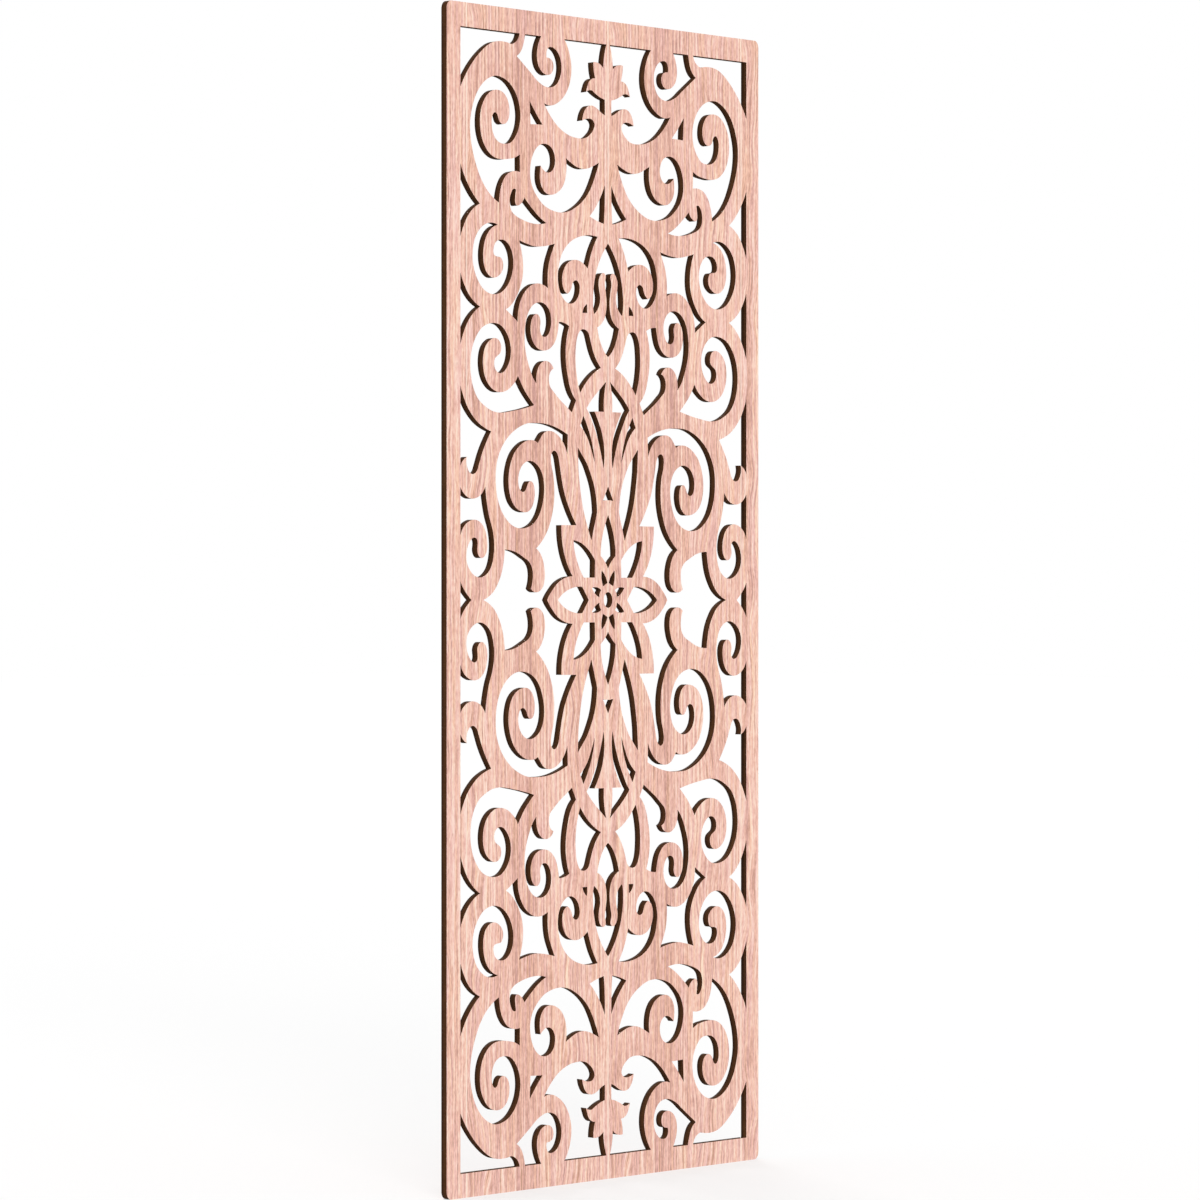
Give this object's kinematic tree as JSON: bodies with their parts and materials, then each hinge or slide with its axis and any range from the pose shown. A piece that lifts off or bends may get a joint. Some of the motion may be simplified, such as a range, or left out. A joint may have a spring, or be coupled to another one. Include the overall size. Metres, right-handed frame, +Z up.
{
  "type": "fretwork screen panel",
  "caption": "Tall flat wood panel cut through with a mirrored scroll and leaf pattern inside a plain border, for screens, room dividers and partitions.",
  "frame": {"origin": "centre of the panel's back face", "axes": "+Z up along the panel's height, +Y out of the back face, X across the panel with +X on the right as the front is looked at"},
  "size_m": [0.594, 0.0102, 1.559],
  "materials": {
    "core_fibreboard": "fibreboard, charred dark brown where it is cut",
    "veneer": "pale pinkish wood veneer, straight grained, unfinished and smoothly sanded"
  },
  "bodies": {
    "root": {"core_board": "core_fibreboard", "front_veneer_edge_left": "veneer", "front_veneer_left": "veneer", "front_veneer_right": "veneer", "front_veneer_edge_right": "veneer", "back_veneer_edge_left": "veneer", "back_veneer_left": "veneer", "back_veneer_right": "veneer", "back_veneer_edge_right": "veneer"}
  },
  "joints": []
}
